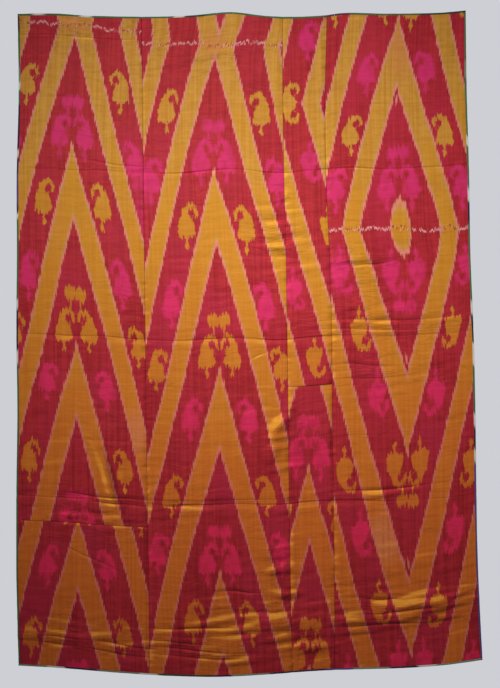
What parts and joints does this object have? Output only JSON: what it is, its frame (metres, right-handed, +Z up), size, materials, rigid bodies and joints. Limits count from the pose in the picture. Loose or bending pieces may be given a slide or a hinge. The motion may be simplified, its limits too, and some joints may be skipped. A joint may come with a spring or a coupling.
{
  "type": "ikat woven wall hanging",
  "caption": "Tall ikat woven cloth pieced from loom widths, with a narrow folded binding, pinned flat along its top edge with soft fold creases.",
  "frame": {"origin": "middle of the top edge, on the wall side of the cloth", "axes": "+Z up along the warp; the face looks towards -Y and the wall is at Y = 0; +X to the right as the face is seen"},
  "size_m": [1.4433, 0.0152, 2.0604],
  "materials": {
    "ikat_cloth": "smooth warp-faced silk and cotton weave with a soft sheen",
    "binding_cloth": "narrow woven strip, many-coloured, matt",
    "pin_steel": "small plain pin heads"
  },
  "bodies": {
    "root": {"panel_left_upper": "ikat_cloth", "panel_left_lower": "ikat_cloth", "panel_centre": "ikat_cloth", "strip_upper": "ikat_cloth", "strip_lower": "ikat_cloth", "panel_right": "ikat_cloth", "binding_top": "binding_cloth", "binding_bottom": "binding_cloth", "binding_left": "binding_cloth", "binding_right": "binding_cloth"}
  },
  "joints": []
}
